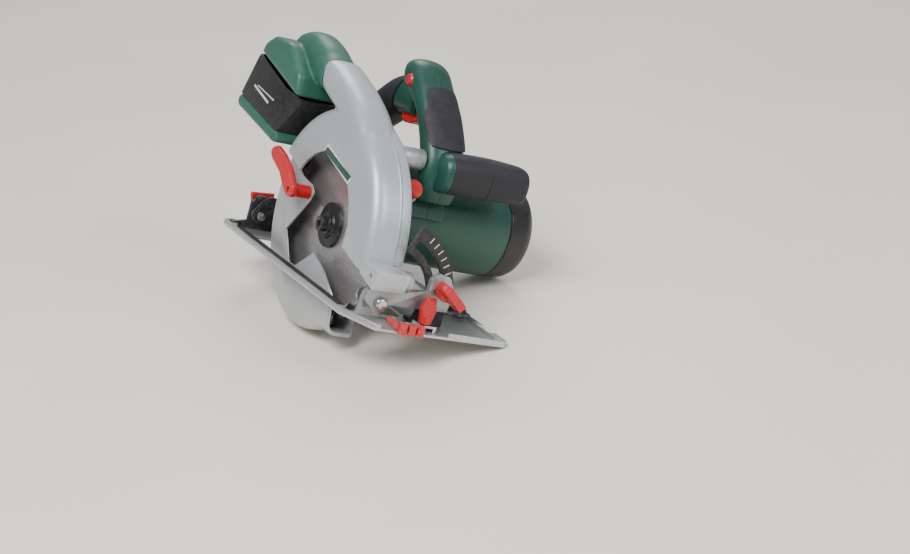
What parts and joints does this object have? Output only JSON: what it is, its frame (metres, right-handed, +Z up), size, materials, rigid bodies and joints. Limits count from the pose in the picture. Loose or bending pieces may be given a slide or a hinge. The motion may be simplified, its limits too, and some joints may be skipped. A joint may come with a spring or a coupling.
{
  "type": "handheld circular saw",
  "caption": "Handheld circular saw with a swinging lower guard, tilting sole plate, closed main handle, second handle and dust box, lying rolled onto its plate edge.",
  "frame": {"origin": "middle of the footprint of the lying saw, on the floor", "axes": "+X along the cut towards the front of the saw, +Y towards the motor side, +Z up; the saw is rolled about X so that the far edge of its sole plate and the rim of its lower guard touch the floor"},
  "size_m": [0.362, 0.2572, 0.247],
  "materials": {
    "silver_paint": "satin, light bluish grey",
    "blade_steel": "brushed round the centre",
    "bright_steel": "turned or plated",
    "black_steel": "black oxide, semi-matt",
    "bare_aluminium": "satin, lightly scuffed",
    "cast_alloy": "as cast, matt",
    "green_plastic": "fine moulded grain",
    "pale_green_plastic": "fine moulded grain",
    "black_plastic": "moulded grain",
    "soft_grip": "soft, matt",
    "red_plastic": "semi-gloss moulded",
    "clear_plastic": "clear moulded",
    "copper": "machined",
    "brass": "pressed",
    "carbon": "pressed carbon",
    "laminated_iron": "varnished laminations"
  },
  "bodies": {
    "saw_body": {"upper_guard": "silver_paint", "upper_guard_back": "silver_paint", "gear_case": "cast_alloy", "spindle_bearing": "bright_steel", "stator": "laminated_iron", "motor_bearing_front": "bright_steel", "motor_bearing_rear": "bright_steel", "carbon_brush_upper": "carbon", "carbon_brush_lower": "carbon", "brush_holder_upper": "brass", "brush_holder_lower": "brass", "motor_housing": "green_plastic", "motor_end_cap": "black_plastic", "handle_near": "green_plastic", "handle_far": "green_plastic", "rear_soft_grip": "soft_grip", "front_soft_grip": "soft_grip", "second_handle_cap": "green_plastic", "second_handle_root": "soft_grip", "second_handle_end": "soft_grip", "second_handle_stud": "bright_steel", "strut_tube": "bright_steel", "switch_module": "black_plastic", "cord_bush": "soft_grip", "guard_spring": "bright_steel", "depth_hinge_pin": "bright_steel", "depth_bolt": "bright_steel"},
    "blade_group": {"saw_blade": "blade_steel", "outer_flange": "black_steel", "blade_bolt": "black_steel", "spindle": "bright_steel", "driven_gear": "bright_steel"},
    "armature": {"armature_shaft": "bright_steel", "armature_core": "laminated_iron", "commutator": "copper", "cooling_fan": "black_plastic"},
    "swing_guard": {"lower_guard": "bare_aluminium", "guard_lever": "red_plastic"},
    "depth_frame": {"front_casting": "cast_alloy", "rear_link": "black_steel"},
    "base": {"sole_plate": "bare_aluminium", "rear_upright": "black_steel", "bevel_quadrant": "black_plastic", "front_bevel_bolt": "bright_steel", "rear_bevel_bolt": "bright_steel", "guide_strap": "bright_steel", "key_clip": "black_plastic", "hex_key": "black_steel"},
    "bevel_clamp": {"bevel_wing_bolt": "red_plastic"},
    "rear_clamp": {"rear_bevel_lever": "red_plastic"},
    "guide_clamp": {"guide_wing_bolt": "red_plastic"},
    "sight_flap": {"sight_window": "clear_plastic", "kerf_indicator": "red_plastic"},
    "depth_clamp": {"depth_lever": "red_plastic"},
    "trigger_lever": {"trigger": "red_plastic"},
    "lock_off": {"lock_off_button": "red_plastic"},
    "lock_pin": {"spindle_lock": "red_plastic"},
    "dust_hood": {"dust_lid": "pale_green_plastic"},
    "dust_bin": {"dust_box": "black_plastic", "dust_box_foot": "pale_green_plastic"}
  },
  "joints": [
    {"name": "blade_spin", "type": "hinge", "parent": "saw_body", "child": "blade_group", "pos_m": [0.024, -0.07811, 0.09513], "axis": [0, 0.9297, -0.3684], "continuous": true},
    {"name": "armature_spin", "type": "hinge", "parent": "saw_body", "child": "armature", "pos_m": [0.0174, -0.06993, 0.11577], "axis": [0, 0.9297, -0.3684], "continuous": true},
    {"name": "guard_swing", "type": "hinge", "parent": "saw_body", "child": "swing_guard", "pos_m": [0.024, -0.07811, 0.09513], "axis": [0, 0.9297, -0.3684], "range_deg": [0, 120], "stiffness_Nm_per_rad": 0.1, "springref_deg": -85.94},
    {"name": "depth_hinge", "type": "hinge", "parent": "saw_body", "child": "depth_frame", "pos_m": [0.15, -0.06765, 0.07808], "axis": [0, 0.9297, -0.3684], "range_deg": [-14, 8]},
    {"name": "bevel_hinge", "type": "hinge", "parent": "depth_frame", "child": "base", "pos_m": [0.024, -0.09435, 0.065], "axis": [-1, 0, 0], "range_deg": [0, 45]},
    {"name": "bevel_wing_turn", "type": "hinge", "parent": "depth_frame", "child": "bevel_clamp", "pos_m": [0.148, -0.03247, 0.06109], "axis": [1, 0, 0], "range_deg": [-30, 40]},
    {"name": "rear_lever_turn", "type": "hinge", "parent": "base", "child": "rear_clamp", "pos_m": [-0.131, -0.09435, 0.065], "axis": [1, 0, 0], "range_deg": [0, 35]},
    {"name": "guide_wing_turn", "type": "hinge", "parent": "base", "child": "guide_clamp", "pos_m": [0.161, -0.05787, 0.03763], "axis": [0, 0.3684, 0.9297], "range_deg": [-180, 180]},
    {"name": "sight_flap_hinge", "type": "hinge", "parent": "base", "child": "sight_flap", "pos_m": [0.156, -0.0804, 0.04592], "axis": [0, -0.9297, 0.3684], "range_deg": [0, 65]},
    {"name": "depth_lever_turn", "type": "hinge", "parent": "saw_body", "child": "depth_clamp", "pos_m": [-0.07308, -0.04381, 0.11381], "axis": [0, 0.9297, -0.3684], "range_deg": [-30, 45]},
    {"name": "trigger_pull", "type": "hinge", "parent": "saw_body", "child": "trigger_lever", "pos_m": [0.015, 0.02931, 0.18165], "axis": [0, 0.9297, -0.3684], "range_deg": [0, 8], "stiffness_Nm_per_rad": 1.5, "springref_deg": -8.59},
    {"name": "lock_off_press", "type": "slide", "parent": "saw_body", "child": "lock_off", "axis": [0, 0.9297, -0.3684], "range_m": [-0.002, 0.002], "stiffness_N_per_m": 400},
    {"name": "spindle_lock_press", "type": "slide", "parent": "saw_body", "child": "lock_pin", "axis": [-0.7431, -0.2465, -0.6221], "range_m": [0, 0.004], "stiffness_N_per_m": 600, "springref_m": -0.003},
    {"name": "dust_hood_slide", "type": "slide", "parent": "saw_body", "child": "dust_hood", "axis": [-1, 0, 0], "range_m": [0, 0.04]},
    {"name": "dust_bin_slide", "type": "slide", "parent": "dust_hood", "child": "dust_bin", "axis": [-0.4315, -0.3323, -0.8387], "range_m": [0, 0.02]}
  ],
  "couplings": [
    {"joint": "armature_spin", "follows": "blade_spin", "ratio": -4.2857}
  ]
}
